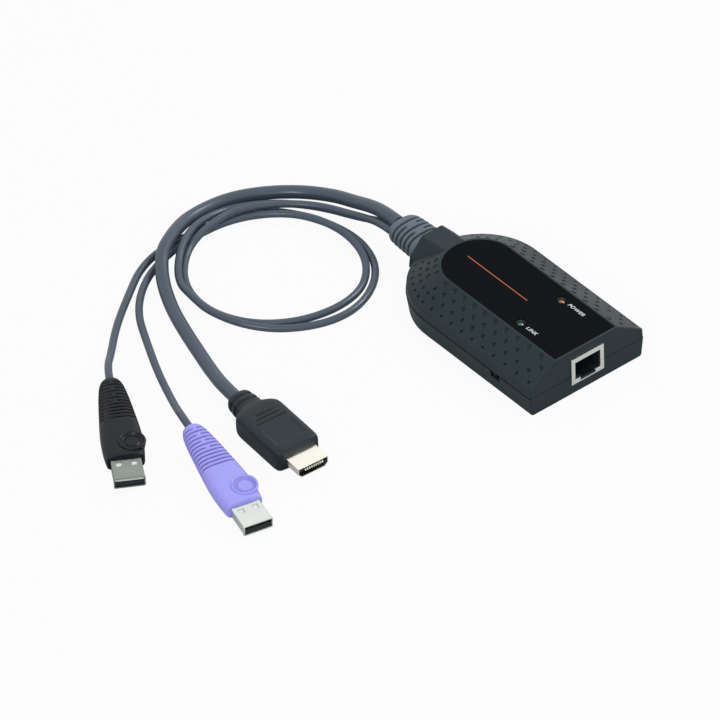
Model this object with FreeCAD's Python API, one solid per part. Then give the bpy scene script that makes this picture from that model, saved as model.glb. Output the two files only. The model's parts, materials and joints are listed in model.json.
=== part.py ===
# Video and keyboard switch dongle: a two-part housing with a network socket at the front,
# a collar and strain relief at the rear, and three captive cords with their plugs.
# Millimetres. +Z is up and +X runs from the cords to the socket. The origin is the middle of
# the underside of the housing and its strain relief.
import FreeCAD
import Part
import math
import os

V = FreeCAD.Vector
X_AXIS = V(1, 0, 0)
Y_AXIS = V(0, 1, 0)
Z_AXIS = V(0, 0, 1)
TINY = 1e-4

# ---------------------------------------------------------------- driving dimensions

# Housing: straight sides, flat front, half-round rear, and slopes up to a flat crown
body_length = 94.2
body_half_width = 29.1        # at the parting line
base_half_width = 27.9        # at the underside
ridge_half_width = 28.7       # where the side wall turns into the slope
crown_half_width = 15.8       # where the slope meets the crown
parting_z = 9.0
ridge_z = 13.1
crown_z = 21.4
wall = 2.0
base_round = 1.4
ridge_round = 0.9
crown_round = 1.0
front_round = 1.0
parting_gap = 0.3             # dark line between the two shells
upper_inset = 0.25            # the upper shell stands this far inside the lower one
tongue_height = 1.2           # lip of the lower shell that the upper one sits over
tongue_thickness = 0.8
fit_gap = 0.1                 # clearance between pieces that locate each other

# Dimples moulded into the slopes, closer together towards the rear
dimple_front_pitch = 7.4
dimple_shoulder_pitch = 5.6   # where the rear starts to curve
dimple_rear_pitch = 3.9       # round each rear shoulder
dimple_row_step = 3.6
dimple_first_rise = 2.7
dimple_crown_margin = 1.7
dimple_front_margin = 3.5
dimple_small_radius = 0.7
dimple_large_radius = 1.3
dimple_depth = 0.5
dimple_floor_share = 0.6
dimple_rear_reach = 63.0      # degrees round each rear shoulder

# Collar over the strain relief, with a matching block on the lower shell
collar_top_half_width = 5.1
collar_side_half_width = 11.4
collar_foot_half_width = 12.0
collar_top_drop = 1.1
collar_round = 1.6
block_half_width = 12.2
block_base_half_width = 9.0
block_base_z = 1.3
block_length = 12.0

# Strain relief: stadium sections, with ring grooves that make it bend
relief_length = 20.3
relief_half_width = 8.5
relief_half_height = 5.5
relief_rear_half_width = 7.8
relief_rear_half_height = 5.0
relief_z = 10.6
relief_rear_round = 1.5
relief_neck_margin = 1.2      # the neck in the wall is this much smaller all round
relief_flange_thickness = 2.0
relief_groove_count = 5
relief_groove_pitch = 2.4
relief_groove_width = 1.2
relief_groove_depth = 1.1
relief_first_groove = 3.8
relief_web_half_width = 2.6

# Circuit board and what it carries
board_top_z = 5.2
board_thickness = 1.6
board_side_gap = 1.4          # from the side walls
board_rear_margin = 11.2      # from the rear of the housing
board_corner_round = 3.0
processor_from_arc = 12.0     # ahead of the middle of the rear round
processor_size = 14.0
processor_height = 1.4
processor_leads_per_side = 12
processor_lead_pitch = 1.0
lead_width = 0.35
lead_reach = 1.0
lead_thickness = 0.2
converter_ahead = 16.0        # of the processor
converter_edge_margin = 9.0   # from the board's side
converter_size = 10.0
converter_height = 0.9
memory_edge_margin = 11.0
memory_length = 5.0
memory_width = 4.0
memory_height = 1.6
memory_lead_pitch = 1.27
memory_leads_per_side = 4
transformer_gap = 2.0         # behind the jack
transformer_length = 9.5
transformer_width = 12.7
transformer_height = 5.9
oscillator_ahead = 14.0       # of the processor
oscillator_edge_margin = 8.0
oscillator_length = 11.0
oscillator_width = 4.6
oscillator_height = 3.5
capacitors_behind = 9.0       # the processor
capacitor_edge_margin = 9.0
capacitor_radius = 2.5
capacitor_height = 5.4
capacitor_pitch = 7.5
capacitor_count = 3
header_margin = 1.5           # from the board's rear edge
header_length = 6.0
header_width = 25.0
header_height = 6.2
header_bay_width = 6.4
header_wall = 0.8
inner_lead_radius = 1.3
inner_lead_pitch = 5.5
inner_lead_z = 8.5

# Network socket
jack_width = 16.3
jack_height = 12.4
jack_depth = 21.0
jack_proud = 0.5
jack_sheet = 0.4
jack_opening_width = 12.7
jack_opening_height = 8.4
jack_band = 2.0
jack_cavity_depth = 14.0
jack_cavity_margin = 0.25     # cavity walls stand this far inside the opening
jack_latch_width = 6.6
jack_latch_drop = 1.4
jack_notch_width = 7.6
contact_count = 8
contact_pitch = 1.02
contact_width = 0.45
contact_thickness = 0.3
contact_length = 9.0
contact_fall = 2.3
contact_setback = 1.0         # behind the frame

# Slide switch in a window of the lower shell
window_width = 5.5
window_sill_z = 6.2
switch_x_from_front = 21.25
switch_length = 9.0
switch_depth = 4.0
switch_height = 3.6
switch_board_inset = 0.4
knob_length = 2.0
knob_height = 1.6
knob_reach = 2.8
switch_travel = 2.0
slot_depth = 1.4
slot_gap = 0.2

# Label plate and the two light pipes
label_side_margin = 0.8       # between the plate and the sides of the crown
label_front_margin = 1.15
label_rear_gap = 0.35         # narrow rim between the plate and the crown's edge
label_recess = 0.5
label_proud = 0.1
light_x_from_front = 27.2
power_light_y = 10.2
link_light_y = -10.5
pipe_radius = 1.1
pipe_dish_radius = 2.4        # mouth of the dished hole, at the top of the plate
pipe_dish_depth = 1.3
pipe_flange_radius = 2.0
pipe_flange_thickness = 0.8
pipe_dome = 0.35
led_length = 3.2
led_width = 2.8
led_height = 1.1
led_lens_radius = 0.9
led_gap = 0.3

# Screws up from the underside into bosses of the upper shell
boss_radius = 3.2
post_radius = 3.9
front_boss_from_front = 11.0
front_boss_from_edge = 5.0    # of the board
rear_boss_from_arc = 5.5
rear_boss_from_edge = 6.5
screw_radius = 1.0
screw_pilot_gap = 0.1
screw_clearance = 0.5
screw_head_radius = 2.4
screw_head_height = 1.3
screw_head_recess = 0.4
screw_length = 9.0
screw_point_radius = 0.25
screw_cross_length = 2.8
screw_cross_width = 0.6
screw_cross_depth = 0.7

# Cords
bend_share = 0.45             # of the shorter run that each bend takes up
video_cord_radius = 2.75
data_cord_radius = 1.55

# Data plugs
grip_length = 47.0
grip_tail_width = 9.0
grip_tail_height = 6.8
grip_middle = 25.0
grip_middle_width = 13.0
grip_middle_height = 7.6
grip_shoulder = 39.0
grip_front_width = 15.0
grip_front_height = 8.0
grip_corner = 2.9
grip_rib_count = 9
grip_rib_start = 2.2
grip_rib_pitch = 2.75
grip_rib_width = 1.1
grip_rib_depth = 0.7
grip_web_half_width = 1.3
grip_webbed_ribs = 4
button_radius = 5.5
button_dish_radius = 4.1
button_dish_depth = 0.7
button_proud = 0.4
button_from_front = 6.5
button_offset = 2.7
shell_width = 12.0
shell_height = 4.5
shell_length = 13.8
shell_sheet = 0.3
shell_corner = 0.5
shell_socket_depth = 0.8
shell_socket_gap = 0.1
shell_window = 2.4
shell_window_from_grip = 4.4
shell_window_pitch = 6.0
shell_lip = 0.2
shell_lip_length = 0.7
insulator_height = 1.9
insulator_setback = 0.6
pad_count = 4
pad_pitch = 2.3
pad_width = 1.1
pad_thickness = 0.15

# Video plug
boot_length = 11.0
boot_tail_width = 11.0
boot_tail_height = 8.4
boot_front_width = 14.0
boot_front_height = 9.4
boot_tail_corner = 3.8
boot_front_corner = 3.9
boot_round = 1.6
boot_groove_count = 2
boot_groove_start = 3.2
boot_groove_pitch = 3.4
boot_groove_width = 1.2
boot_groove_depth = 0.9
boot_groove_corner = 2.9
case_length = 30.0
case_width = 20.0
case_height = 10.6
case_corner = 2.0
case_shoulder = 3.0
case_tail_width = 16.4
case_tail_height = 9.6
case_groove_count = 3
case_groove_start = 6.5
case_groove_pitch = 2.6
case_groove_width = 1.1
case_groove_depth = 0.6
case_groove_half_length = 4.0
case_groove_growth = 1.3
case_panel_length = 11.0
case_panel_width = 12.6
case_panel_start = 15.6
case_panel_depth = 0.35
video_shell_width = 13.9
video_shell_height = 4.45
video_shell_length = 10.8
video_shell_bevel = 1.5
video_tongue_width = 11.2
video_tongue_height = 1.3
video_tongue_setback = 1.2
video_contact_count = 19
video_contact_pitch = 0.5
video_contact_width = 0.28
video_contact_thickness = 0.12

# Routes of the cords, from the strain relief to the plugs
video_route = [
    (-57.5, -0.5, 12.0), (-65.5, -0.5, 12.0), (-74.5, -0.3, 9.8), (-84.0, -1.0, 6.5),
    (-95.0, -3.0, 4.2), (-107.0, -10.5, 3.0), (-116.5, -22.5, 3.0), (-123.0, -36.5, 3.0),
    (-123.0, -55.0, 4.0), (-115.5, -69.5, 7.0), (-109.0, -79.5, 7.0), (-98.5, -87.5, 4.0),
    (-83.5, -94.5, 3.0), (-70.0, -99.0, 3.0), (-56.0, -103.0, 3.0), (-42.5, -107.0, 3.6),
    (-30.5, -110.4, 5.5), (-21.5, -111.0, 5.5)]
violet_route = [
    (-57.5, -4.6, 10.0), (-64.5, -4.6, 10.0), (-76.0, -4.2, 5.5), (-98.5, -14.0, 4.5),
    (-112.0, -37.0, 6.5), (-111.0, -55.5, 6.5), (-108.0, -68.5, 2.5), (-93.5, -81.0, 1.6),
    (-75.0, -84.0, 1.6), (-57.5, -76.5, 1.6), (-46.0, -61.5, 1.6), (-42.0, -43.0, 1.6),
    (-46.0, -27.0, 1.6), (-59.0, -16.0, 3.0), (-78.0, -14.0, 4.5), (-98.0, -21.5, 4.0),
    (-111.5, -40.0, 3.0), (-113.0, -62.0, 3.0), (-112.0, -75.5, 1.6), (-105.5, -91.0, 1.6),
    (-92.5, -105.0, 1.6), (-74.5, -114.0, 1.6), (-56.5, -122.5, 2.0), (-38.0, -129.5, 2.5),
    (-26.4, -135.4, 8.6), (-17.6, -137.4, 7.9)]
black_route = [
    (-57.5, 0.8, 7.4), (-64.0, 0.8, 7.4), (-77.5, -2.0, 2.5), (-97.5, -10.5, 1.6),
    (-112.0, -24.0, 1.6), (-120.0, -42.5, 2.5), (-112.5, -65.5, 7.5), (-96.5, -82.5, 3.5),
    (-81.5, -85.0, 4.5), (-71.0, -85.5, 4.5), (-57.0, -79.5, 3.0), (-45.5, -68.0, 1.6),
    (-37.0, -51.0, 1.6), (-38.0, -34.0, 1.6), (-49.0, -18.0, 1.6), (-66.0, -11.0, 1.6),
    (-84.5, -13.0, 1.6), (-100.5, -20.5, 1.6), (-114.0, -33.5, 1.6), (-115.5, -52.0, 1.6),
    (-117.0, -71.5, 1.6), (-113.0, -87.0, 1.6), (-102.5, -101.5, 1.6), (-91.0, -116.5, 1.6),
    (-78.5, -129.0, 1.8), (-70.3, -137.0, 5.2), (-62.6, -141.6, 5.1)]

# ---------------------------------------------------------------- places worked out from them

overall_length = relief_length + body_length + jack_proud
relief_rear_x = -overall_length / 2
body_rear_x = relief_rear_x + relief_length
body_front_x = body_rear_x + body_length
widest_half_width = max(body_half_width, ridge_half_width)
arc_x = body_rear_x + widest_half_width
upper_low_z = parting_z + parting_gap
upper_low_half_width = body_half_width - upper_inset
wall_lean = (body_half_width - base_half_width) / parting_z
board_low_z = board_top_z - board_thickness
wall_half_width = min(base_half_width + wall_lean * board_low_z, body_half_width)
board_half_width = wall_half_width - wall - board_side_gap
jack_front_x = body_front_x + jack_proud
jack_low_z = board_top_z
jack_opening_low_z = jack_low_z + jack_band
jack_cavity_low_z = jack_opening_low_z + jack_cavity_margin
jack_cavity_high_z = jack_opening_low_z + jack_opening_height - jack_cavity_margin
jack_cavity_half_width = jack_opening_width / 2 - jack_cavity_margin
jack_face_x = jack_front_x - jack_sheet
board_front_x = body_front_x - wall - fit_gap
board_rear_x = body_rear_x + board_rear_margin
switch_x = body_front_x - switch_x_from_front
light_x = body_front_x - light_x_from_front
label_top_z = crown_z + label_proud
label_floor_z = crown_z - label_recess
label_front_x = body_front_x - label_front_margin
label_half_width = crown_half_width - label_side_margin
pipe_tip_z = label_top_z - pipe_dish_depth
front_boss_y = board_half_width - front_boss_from_edge
rear_boss_y = board_half_width - rear_boss_from_edge
boss_places = [
    (body_front_x - front_boss_from_front, front_boss_y),
    (body_front_x - front_boss_from_front, -front_boss_y),
    (arc_x - rear_boss_from_arc, rear_boss_y),
    (arc_x - rear_boss_from_arc, -rear_boss_y)]
header_x = board_rear_x + header_length / 2 + header_margin
processor_x = arc_x + processor_from_arc
transformer_x = jack_front_x - jack_depth - transformer_gap - transformer_length / 2
straight_length = body_front_x - arc_x
slope_run = ridge_half_width - crown_half_width
slope_rise = crown_z - ridge_z
slope_length = math.hypot(slope_run, slope_rise)
dimple_rows = 1 + int((slope_length - dimple_first_rise - dimple_crown_margin) / dimple_row_step)

# ---------------------------------------------------------------- outlines and solids


def corner(before, point, after, radius):
    """Where the arc that rounds a corner starts, its middle, and where it ends."""
    back = (before - point).normalize()
    ahead = (after - point).normalize()
    half_angle = back.getAngle(ahead) / 2
    bisector = (back + ahead).normalize()
    reach = radius / math.tan(half_angle)
    middle = point + bisector * (radius / math.sin(half_angle) - radius)
    return point + back * reach, middle, point + ahead * reach


def outline(points, radii, closed=True):
    """Wire through the points, with a tangent arc of the given radius at each corner."""
    stops = []
    for index, radius in enumerate(radii):
        point = points[index]
        if radius == 0:
            stops.append((point, None, point))
        else:
            following = points[(index + 1) % len(points)]
            stops.append(corner(points[index - 1], point, following, radius))
    edges = []
    previous = stops[-1] if closed else None
    for stop in stops:
        if previous and previous[2].distanceToPoint(stop[0]) > TINY:
            edges.append(Part.LineSegment(previous[2], stop[0]).toShape())
        if stop[1]:
            edges.append(Part.Arc(*stop).toShape())
        previous = stop
    return Part.Wire(edges)


def section_face(rows, x):
    """Face in the plane X = x from (y, z, radius) rows."""
    points = [V(x, y, z) for y, z, radius in rows]
    return Part.Face(outline(points, [radius for y, z, radius in rows]))


def mirrored(shape):
    return shape.mirror(V(0, 0, 0), Y_AXIS)


def bullet(rows, front_x):
    """Straight sides and a half-round rear, from the right half of a cross-section."""
    face = section_face(rows, arc_x)
    straight = face.extrude(V(front_x - arc_x, 0, 0))
    rear = face.revolve(V(arc_x, 0, 0), Z_AXIS, 180)
    return straight.fuse([mirrored(straight), rear]).removeSplitter()


def inset(points, distance):
    """The same open half-outline moved inwards, with its corners kept sharp."""
    lines = []
    for (y0, z0), (y1, z1) in zip(points, points[1:]):
        length = math.hypot(y1 - y0, z1 - z0)
        run = (y1 - y0) / length
        rise = (z1 - z0) / length
        lines.append((y0 - rise * distance, z0 + run * distance, run, rise))
    moved = [lines[0][:2]]
    for (y0, z0, run0, rise0), (y1, z1, run1, rise1) in zip(lines, lines[1:]):
        turn = run0 * rise1 - rise0 * run1
        along = ((y1 - y0) * rise1 - (z1 - z0) * run1) / turn
        moved.append((y0 + run0 * along, z0 + rise0 * along))
    last_y, last_z = points[-1]
    moved.append((last_y - lines[-1][3] * distance, last_z + lines[-1][2] * distance))
    return moved


def both_halves(points, x):
    """Closed wire in the plane X = x from a half-outline that ends on the middle plane."""
    right = [V(x, y, z) for y, z in points]
    left = [V(x, -y, z) for y, z in reversed(points) if y > TINY]
    return Part.makePolygon(right + left + [right[0]])


def block(x, y, z, length, width, height):
    """Box whose low corner is at x, y, z."""
    return Part.makeBox(length, width, height, V(x, y, z))


def centred_block(x, y, z, length, width, height):
    """Box centred on x and y, standing on z."""
    return block(x - length / 2, y - width / 2, z, length, width, height)


def rod(x, y, z, radius, height):
    return Part.makeCylinder(radius, height, V(x, y, z))


def stadium(x, half_width, half_height, z):
    """Oval wire with round ends in the plane X = x."""
    points = [V(x, side * half_width, z + level * half_height)
              for side, level in ((1, -1), (1, 1), (-1, 1), (-1, -1))]
    return outline(points, [half_height] * len(points))


def rounded_box_wire(x, width, height, radius):
    """Rounded rectangle about the X axis in the plane X = x."""
    points = [V(x, side * width / 2, level * height / 2)
              for side, level in ((1, -1), (1, 1), (-1, 1), (-1, -1))]
    return outline(points, [radius] * len(points))


def loft(wires):
    return Part.makeLoft(wires, True, False)


def ruled_loft(wires):
    return Part.makeLoft(wires, True, True)


def edges_where(shape, test):
    return [edge for edge in shape.Edges if test(edge.BoundBox)]


# ---------------------------------------------------------------- housing

lower_line = [(0, 0), (base_half_width, 0), (body_half_width, parting_z)]
upper_line = [(upper_low_half_width, upper_low_z), (ridge_half_width, ridge_z),
              (crown_half_width, crown_z), (0, crown_z)]
block_line = [(0, block_base_z), (block_base_half_width, block_base_z),
              (block_half_width, parting_z)]


def collar_line(top_z):
    return [(collar_foot_half_width, upper_low_z), (collar_side_half_width, ridge_z),
            (collar_top_half_width, top_z), (0, top_z)]


def front_rounded(shape, lowest_z, highest_z):
    """Round the front edges of a housing half, apart from those along the parting line."""
    def on_front(box):
        at_front = box.XMin > body_front_x - TINY
        return at_front and box.ZMax > lowest_z + TINY and box.ZMin < highest_z - TINY
    return shape.makeFillet(front_round, edges_where(shape, on_front))


def collar(distance, rear_x):
    """Ridge over the strain relief, or the hollow inside it when moved in by the wall."""
    front_x = arc_x - math.sqrt(crown_half_width ** 2 - collar_top_half_width ** 2)
    lines = [collar_line(crown_z), collar_line(crown_z - collar_top_drop)]
    if distance:
        lines = [inset(line, distance) for line in lines]
    sections = []
    for line, x in zip(lines, (front_x, rear_x)):
        sections.append(both_halves(line, x))
    ridge = ruled_loft(sections)
    if distance:
        return ridge

    def along_top(box):
        return box.ZMin > crown_z - collar_top_drop - TINY and box.XLength > TINY
    return ridge.makeFillet(collar_round, edges_where(ridge, along_top))


def lower_block(distance, rear_x):
    """Block under the strain relief, or the hollow inside it."""
    line = inset(block_line, distance) if distance else block_line
    face = Part.Face(both_halves(line + [(0, parting_z)], rear_x))
    return face.extrude(V(block_length, 0, 0))


def dimple(x, side, angle, rise, size):
    """Tapered cutter for one dimple on the slope, on a side or round the rear."""
    reach = ridge_half_width - rise / slope_length * slope_run
    level = ridge_z + rise / slope_length * slope_rise
    sideways = V(-math.sin(angle), side * math.cos(angle), 0)
    outward = sideways * (slope_rise / slope_length) + Z_AXIS * (slope_run / slope_length)
    floor = V(x, 0, level) + sideways * reach - outward * dimple_depth
    floor_radius = size * dimple_floor_share
    mouth_radius = size + (size - floor_radius)
    return Part.makeCone(floor_radius, mouth_radius, 2 * dimple_depth, floor, outward)


def dimple_gap(along):
    """Pitch at a distance from the front: it narrows along the side, then round the rear."""
    if along > straight_length:
        return dimple_rear_pitch
    share = along / straight_length
    return dimple_front_pitch + share * (dimple_shoulder_pitch - dimple_front_pitch)


def dimples():
    """Staggered rows of dimples along both slopes and round the rear shoulders."""
    cutters = []
    for row in range(dimple_rows):
        rise = dimple_first_rise + row * dimple_row_step
        share = row / (dimple_rows - 1)
        size = dimple_small_radius + share * (dimple_large_radius - dimple_small_radius)
        reach = ridge_half_width - rise / slope_length * slope_run
        along = dimple_front_margin + (row % 2) * dimple_front_pitch / 2
        while along < straight_length + math.radians(dimple_rear_reach) * reach:
            angle = max(0, along - straight_length) / reach
            x = max(body_front_x - along, arc_x)
            cutters += [dimple(x, side, angle, rise, size) for side in (1, -1)]
            along += dimple_gap(along)
    return cutters


def relief_hole():
    """Hole through the rear wall for the neck of the strain relief."""
    half_width = relief_half_width - relief_neck_margin + fit_gap
    half_height = relief_half_height - relief_neck_margin + fit_gap
    wire = stadium(body_rear_x - wall, half_width, half_height, relief_z)
    return Part.Face(wire).extrude(V(3 * wall, 0, 0))


def jack_hole():
    return centred_block(body_front_x, 0, jack_low_z - fit_gap, 4 * wall,
                         jack_width + 2 * fit_gap, jack_height + 2 * fit_gap)


def switch_window():
    """Notch in the rim of the lower shell's wall."""
    outer = -body_half_width - wall
    return block(switch_x - window_width / 2, outer, window_sill_z,
                 window_width, 3 * wall, parting_z + tongue_height + wall - window_sill_z)


def lower_shell():
    rows = [(0, 0, 0), (base_half_width, 0, base_round), (body_half_width, parting_z, 0),
            (0, parting_z, 0)]
    outer = front_rounded(bullet(rows, body_front_x), -1, parting_z)
    outer = outer.fuse(lower_block(0, body_rear_x))
    inner_line = inset(lower_line, wall)
    open_z = parting_z + wall
    inner_rows = [(y, z, 0) for y, z in inner_line[:-1]]
    inner_rows += [(inner_line[-1][0], open_z, 0), (0, open_z, 0)]
    hollow = bullet(inner_rows, body_front_x - wall)
    hollow = hollow.fuse(lower_block(wall, body_rear_x + wall))
    shell = outer.cut(hollow)
    lip_inner = body_half_width - wall
    lip_rows = [(lip_inner, parting_z - wall, 0), (lip_inner + tongue_thickness, parting_z - wall, 0),
                (lip_inner + tongue_thickness, parting_z + tongue_height, 0),
                (lip_inner, parting_z + tongue_height, 0)]
    face = section_face(lip_rows, arc_x)
    side = face.extrude(V(body_front_x - wall - arc_x, 0, 0))
    shoulder = face.revolve(V(arc_x, 0, 0), Z_AXIS, 180)
    lip = side.fuse([mirrored(side), shoulder])
    collar_clear = block(body_rear_x - wall, -block_half_width - fit_gap, parting_z - wall,
                         block_length, 2 * (block_half_width + fit_gap), wall + 2 * tongue_height)
    shell = shell.fuse(lip.cut(collar_clear))
    for x, y in boss_places:
        post = rod(x, y, wall / 2, post_radius, board_top_z - board_thickness - wall / 2)
        shell = shell.fuse(post)
    for x, y in boss_places:
        head_space = rod(x, y, -wall, screw_head_radius + fit_gap,
                         wall + screw_head_recess + screw_head_height)
        shank_space = rod(x, y, 0, screw_radius + screw_clearance, board_top_z)
        shell = shell.cut([head_space, shank_space])
    return shell.cut([relief_hole(), jack_hole(), switch_window()]).removeSplitter()


def upper_shell():
    rows = [(0, upper_low_z, 0), (upper_low_half_width, upper_low_z, 0),
            (ridge_half_width, ridge_z, ridge_round), (crown_half_width, crown_z, crown_round),
            (0, crown_z, 0)]
    plain = front_rounded(bullet(rows, body_front_x), upper_low_z, crown_z + 1)
    outer = plain.cut(dimples()).fuse(collar(0, body_rear_x))
    inner_line = inset(upper_line, wall)
    inner_rows = [(0, upper_low_z, 0), (inner_line[0][0], upper_low_z, 0)]
    inner_rows += [(y, z, 0) for y, z in inner_line[1:]]
    hollow = bullet(inner_rows, body_front_x - wall).fuse(collar(wall, body_rear_x + wall))
    rebate_half = body_half_width - wall + tongue_thickness + fit_gap
    rebate_rows = [(0, upper_low_z, 0), (rebate_half, upper_low_z, 0),
                   (rebate_half, parting_z + tongue_height + fit_gap, 0),
                   (0, parting_z + tongue_height + fit_gap, 0)]
    rebate = bullet(rebate_rows, body_front_x - wall + fit_gap)
    collar_keep = block(body_rear_x - wall, -collar_foot_half_width, 0, block_length,
                        2 * collar_foot_half_width, crown_z)
    shell = outer.cut([hollow, rebate.cut(collar_keep)])
    for x, y in boss_places:
        boss = rod(x, y, board_top_z, boss_radius, crown_z - board_top_z).common(
            rod(x, y, board_top_z, boss_radius, upper_low_z - board_top_z).fuse(plain))
        pilot = rod(x, y, 0, screw_radius + screw_pilot_gap,
                    screw_head_recess + screw_head_height + screw_length + 1)
        shell = shell.fuse(boss).cut(pilot)
    recess = label_plan(label_floor_z, label_recess + 1, fit_gap)
    pipes = [rod(light_x, y, ridge_z, pipe_radius + fit_gap, crown_z)
             for y in (power_light_y, link_light_y)]
    dishes = [light_dish(y) for y in (power_light_y, link_light_y)]
    return shell.cut([relief_hole(), jack_hole(), recess] + pipes + dishes).removeSplitter()


def light_dish(y):
    """Tapered well round the tip of a light pipe, from the top of the label plate."""
    return Part.makeCone(pipe_radius + fit_gap, pipe_dish_radius, pipe_dish_depth,
                         V(light_x, y, pipe_tip_z))


def label_plan(z, height, gap):
    """Flat plate with a half-round rear that follows the crown."""
    half_width = label_half_width + gap
    front_x = label_front_x + gap
    rear = V(arc_x - half_width + label_rear_gap, 0, z)
    start = arc_x + label_rear_gap
    corners = [V(start, half_width, z), V(front_x, half_width, z),
               V(front_x, -half_width, z), V(start, -half_width, z)]
    edges = [Part.LineSegment(corners[index], corners[index + 1]).toShape() for index in range(3)]
    edges.append(Part.Arc(corners[3], rear, corners[0]).toShape())
    return Part.Face(Part.Wire(edges)).extrude(V(0, 0, height))


def label_plate():
    plate = label_plan(label_floor_z, label_recess + label_proud, 0)
    return plate.cut([light_dish(y) for y in (power_light_y, link_light_y)])


# ---------------------------------------------------------------- strain relief


def relief_shape(x):
    """Half width and half height of the strain relief at x."""
    share = (body_rear_x - x) / relief_length
    half_width = relief_half_width + share * (relief_rear_half_width - relief_half_width)
    half_height = relief_half_height + share * (relief_rear_half_height - relief_half_height)
    return half_width, half_height


def relief_ring(x, width, depth, webbed):
    """Cutter for one groove round the strain relief, with a web left at its top."""
    half_width, half_height = relief_shape(x)
    slab = block(x, -2 * half_width, relief_z - 2 * half_height, width, 4 * half_width,
                 4 * half_height)
    core = Part.Face(stadium(x - 1, half_width - depth, half_height - depth, relief_z))
    ring = slab.cut(core.extrude(V(width + 2, 0, 0)))
    if webbed:
        web = block(x - 1, -relief_web_half_width, relief_z, width + 2,
                    2 * relief_web_half_width, 2 * half_height)
        ring = ring.cut(web)
    return ring


def strain_relief():
    body = ruled_loft([stadium(body_rear_x, relief_half_width, relief_half_height, relief_z),
                       stadium(relief_rear_x, relief_rear_half_width, relief_rear_half_height,
                               relief_z)])
    rear_edges = edges_where(body, lambda box: box.XMax < relief_rear_x + TINY)
    body = body.makeFillet(relief_rear_round, rear_edges)
    for index in range(relief_groove_count):
        x = body_rear_x - relief_first_groove - index * relief_groove_pitch
        body = body.cut(relief_ring(x - relief_groove_width, relief_groove_width,
                                    relief_groove_depth, index % 2 == 1))
    neck_width = relief_half_width - relief_neck_margin
    neck_height = relief_half_height - relief_neck_margin
    inner_x = body_rear_x + wall
    neck = Part.Face(stadium(body_rear_x, neck_width, neck_height, relief_z))
    neck = neck.extrude(V(wall + fit_gap, 0, 0))
    flange_wire = stadium(inner_x + fit_gap, relief_half_width - fit_gap,
                          relief_half_height - fit_gap, relief_z)
    flange = Part.Face(flange_wire).extrude(V(relief_flange_thickness, 0, 0))
    return body.fuse([neck, flange]).removeSplitter()


# ---------------------------------------------------------------- board and its parts


def circuit_board():
    corners = [V(board_front_x, side * board_half_width, board_low_z) for side in (-1, 1)]
    rear_half_width = math.sqrt(board_half_width ** 2 - (arc_x - board_rear_x) ** 2)
    corners += [V(arc_x, board_half_width, board_low_z),
                V(board_rear_x, rear_half_width, board_low_z),
                V(board_rear_x, -rear_half_width, board_low_z),
                V(arc_x, -board_half_width, board_low_z)]
    radii = [board_corner_round] * len(corners)
    board = Part.Face(outline(corners, radii)).extrude(V(0, 0, board_thickness))
    for x, y in boss_places:
        board = board.cut(rod(x, y, 0, screw_radius + screw_clearance, board_top_z + 1))
    return board


def main_processor(x, y):
    """Flat package with gull-wing leads on all four sides."""
    pieces = [centred_block(x, y, board_top_z + lead_thickness, processor_size, processor_size,
                            processor_height)]
    first = -processor_lead_pitch * (processor_leads_per_side - 1) / 2
    foot = lead_reach + 2 * lead_thickness
    for index in range(processor_leads_per_side):
        along = first + index * processor_lead_pitch
        for side in (-1, 1):
            reach = side * (processor_size + lead_reach) / 2
            pieces.append(centred_block(x + along, y + reach, board_top_z, lead_width, foot,
                                        2 * lead_thickness))
            pieces.append(centred_block(x + reach, y + along, board_top_z, foot, lead_width,
                                        2 * lead_thickness))
    return pieces[0].fuse(pieces[1:])


def chip_with_feet(x, y, length, width, height, pitch):
    """Small package with leads on its two long sides."""
    body = centred_block(x, y, board_top_z + lead_thickness, length, width, height)
    feet = []
    for index in range(memory_leads_per_side):
        along = (index - (memory_leads_per_side - 1) / 2) * pitch
        feet.append(centred_block(x + along, y, board_top_z, lead_width,
                                  width + 2 * lead_reach, 2 * lead_thickness))
    return body.fuse(feet)


def oscillator(x, y):
    """Oval metal can."""
    face = Part.Face(stadium(0, oscillator_length / 2, oscillator_width / 2, 0))
    can = face.extrude(V(oscillator_height, 0, 0))
    can.rotate(V(0, 0, 0), Y_AXIS, -90)
    can.translate(V(x, y, board_top_z))
    return can


def capacitors(x, y):
    """Row of can capacitors on square bases."""
    cans = []
    for index in range(capacitor_count):
        place = x + index * capacitor_pitch
        base = centred_block(place, y, board_top_z, 2 * capacitor_radius, 2 * capacitor_radius,
                             2 * lead_thickness)
        can = rod(place, y, board_top_z, capacitor_radius, capacitor_height)
        cans.append(can.fuse(base))
    return Part.makeCompound(cans)


def header_bay_centres():
    return [-inner_lead_pitch - header_wall, 0, inner_lead_pitch + header_wall]


def lead_header(x):
    """Socket strip with one bay for each cord."""
    strip = centred_block(x, 0, board_top_z, header_length, header_width, header_height)
    for y in header_bay_centres():
        bay = centred_block(x - header_wall, y, board_top_z + header_wall, header_length,
                            header_bay_width - header_wall, header_height - 2 * header_wall)
        strip = strip.cut(bay)
    return strip


def inner_leads(header_x):
    """The cords' cores between the strain relief's flange and the header."""
    start = body_rear_x + wall + fit_gap + relief_flange_thickness
    end = header_x + header_length / 2 - 2 * header_wall
    leads = []
    for y in header_bay_centres():
        leads.append(Part.makeCylinder(inner_lead_radius, end - start, V(start, y, inner_lead_z),
                                       X_AXIS))
    return Part.makeCompound(leads)


def light_emitter(y):
    """Surface-mounted lamp under a light pipe."""
    base = centred_block(light_x, y, board_top_z, led_length, led_width, led_height)
    lens = rod(light_x, y, board_top_z, led_lens_radius, led_height + led_gap / 2)
    return base.fuse(lens)


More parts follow.
